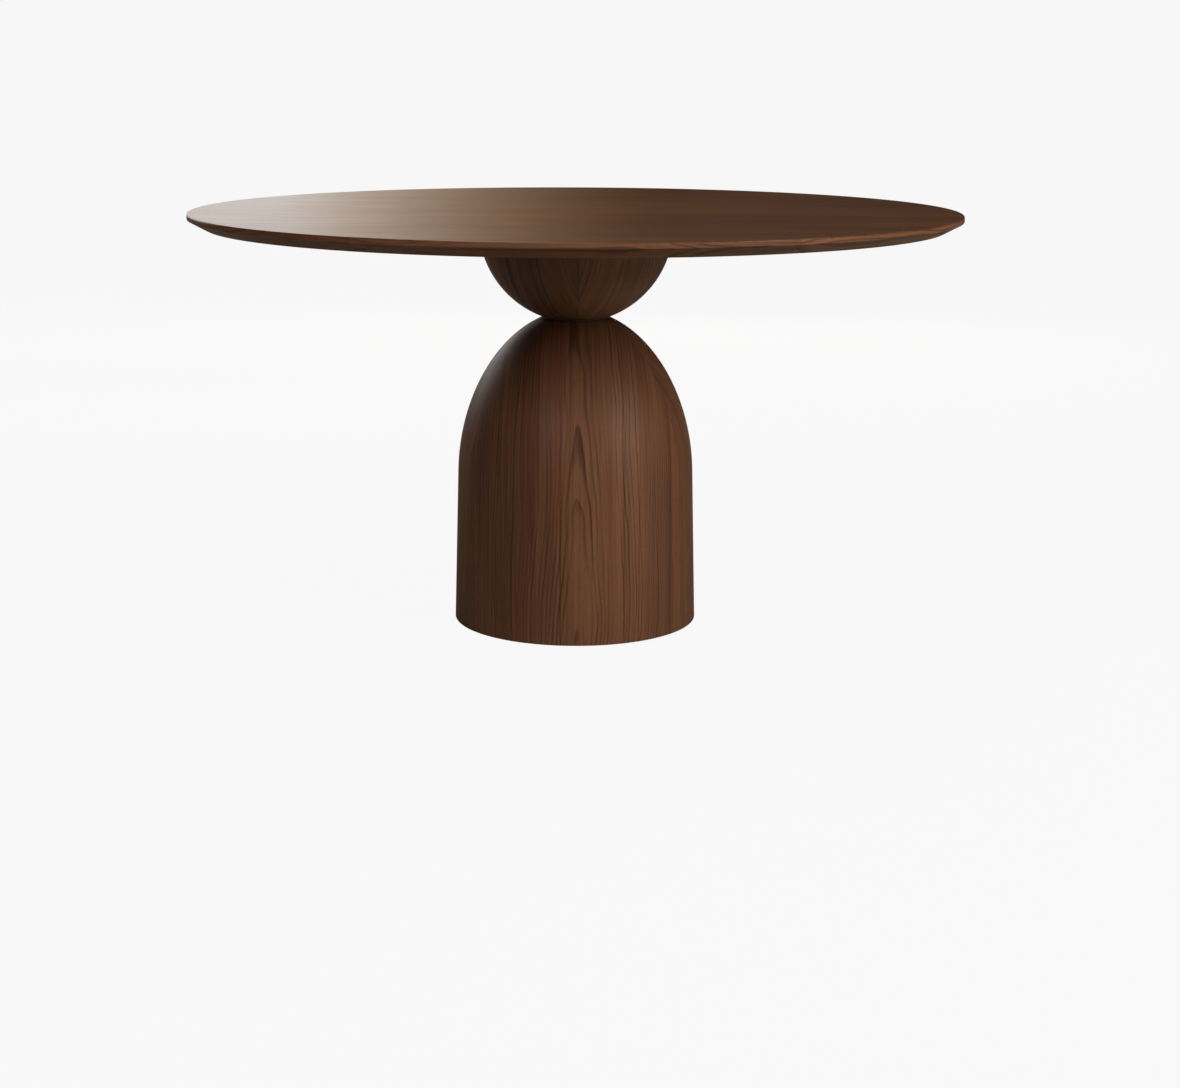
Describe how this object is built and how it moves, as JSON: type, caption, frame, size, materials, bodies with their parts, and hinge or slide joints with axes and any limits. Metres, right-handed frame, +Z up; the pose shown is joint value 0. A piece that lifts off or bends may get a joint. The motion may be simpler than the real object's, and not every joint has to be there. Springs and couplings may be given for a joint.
{
  "type": "pedestal dining table",
  "caption": "Round wooden table: a bevel-edged top on a half-ball bowl and a tall bell-shaped dome base, clamped by a hidden tie rod and standing on levelling glides.",
  "frame": {"origin": "on the floor in the middle of the foot, at the table's axis", "axes": "+Z up along the pedestal's axis, +X to the right and +Y to the back as seen from the front"},
  "size_m": [1.37, 1.37, 0.75],
  "materials": {
    "walnut_veneer": "satin lacquered walnut veneer",
    "walnut_solid": "satin lacquered solid walnut",
    "birch_plywood": "raw birch plywood",
    "black_steel": "black powder coat",
    "zinc_steel": "bright zinc plate",
    "cast_iron": "raw sand casting",
    "black_nylon": "moulded black nylon"
  },
  "bodies": {
    "root": {"tabletop_core": "walnut_veneer", "bowl_shell": "walnut_veneer", "dome_shell": "walnut_veneer", "edge_lipping": "walnut_solid", "waist_collar": "walnut_solid", "bowl_rim_ring": "birch_plywood", "bowl_floor_ring": "birch_plywood", "dome_crown_ring": "birch_plywood", "dome_belt_ring": "birch_plywood", "dome_foot_ring": "birch_plywood", "top_plate": "black_steel", "column_tube": "black_steel", "base_plate": "black_steel", "threaded_insert_1": "zinc_steel", "threaded_insert_2": "zinc_steel", "threaded_insert_3": "zinc_steel", "threaded_insert_4": "zinc_steel", "threaded_insert_5": "zinc_steel", "threaded_insert_6": "zinc_steel", "top_bolt_1": "zinc_steel", "top_bolt_2": "zinc_steel", "top_bolt_3": "zinc_steel", "top_bolt_4": "zinc_steel", "top_bolt_5": "zinc_steel", "top_bolt_6": "zinc_steel", "foot_screw_1": "zinc_steel", "foot_screw_2": "zinc_steel", "foot_screw_3": "zinc_steel", "foot_screw_4": "zinc_steel", "foot_screw_5": "zinc_steel", "foot_screw_6": "zinc_steel", "foot_screw_7": "zinc_steel", "foot_screw_8": "zinc_steel", "ballast_bolt_1": "zinc_steel", "ballast_bolt_2": "zinc_steel", "ballast_bolt_3": "zinc_steel", "ballast_bolt_4": "zinc_steel", "tie_rod": "zinc_steel", "tie_washer": "zinc_steel", "tie_nut": "zinc_steel", "glide_nut_1": "zinc_steel", "glide_nut_2": "zinc_steel", "glide_nut_3": "zinc_steel", "glide_nut_4": "zinc_steel", "ballast_disc_1": "cast_iron", "ballast_disc_2": "cast_iron", "ballast_disc_3": "cast_iron"},
    "pad_1": {"glide_pad_1": "black_nylon"},
    "stem_1": {"glide_stem_1": "zinc_steel"},
    "pad_2": {"glide_pad_2": "black_nylon"},
    "stem_2": {"glide_stem_2": "zinc_steel"},
    "pad_3": {"glide_pad_3": "black_nylon"},
    "stem_3": {"glide_stem_3": "zinc_steel"},
    "pad_4": {"glide_pad_4": "black_nylon"},
    "stem_4": {"glide_stem_4": "zinc_steel"}
  },
  "joints": [
    {"name": "glide_1_travel", "type": "slide", "parent": "root", "child": "pad_1", "axis": [0, 0, -1], "range_m": [0, 0.01]},
    {"name": "glide_1_turn", "type": "hinge", "parent": "pad_1", "child": "stem_1", "pos_m": [0.13043, 0.13043, 0.03], "axis": [0, 0, -1], "range_deg": [0, 2400]},
    {"name": "glide_2_travel", "type": "slide", "parent": "root", "child": "pad_2", "axis": [0, 0, -1], "range_m": [0, 0.01]},
    {"name": "glide_2_turn", "type": "hinge", "parent": "pad_2", "child": "stem_2", "pos_m": [-0.13043, 0.13043, 0.03], "axis": [0, 0, -1], "range_deg": [0, 2400]},
    {"name": "glide_3_travel", "type": "slide", "parent": "root", "child": "pad_3", "axis": [0, 0, -1], "range_m": [0, 0.01]},
    {"name": "glide_3_turn", "type": "hinge", "parent": "pad_3", "child": "stem_3", "pos_m": [-0.13043, -0.13043, 0.03], "axis": [0, 0, -1], "range_deg": [0, 2400]},
    {"name": "glide_4_travel", "type": "slide", "parent": "root", "child": "pad_4", "axis": [0, 0, -1], "range_m": [0, 0.01]},
    {"name": "glide_4_turn", "type": "hinge", "parent": "pad_4", "child": "stem_4", "pos_m": [0.13043, -0.13043, 0.03], "axis": [0, 0, -1], "range_deg": [0, 2400]}
  ],
  "couplings": [
    {"joint": "glide_1_turn", "follows": "glide_1_travel", "rad_per_m": 4188.8},
    {"joint": "glide_2_turn", "follows": "glide_2_travel", "rad_per_m": 4188.8},
    {"joint": "glide_3_turn", "follows": "glide_3_travel", "rad_per_m": 4188.8},
    {"joint": "glide_4_turn", "follows": "glide_4_travel", "rad_per_m": 4188.8}
  ]
}
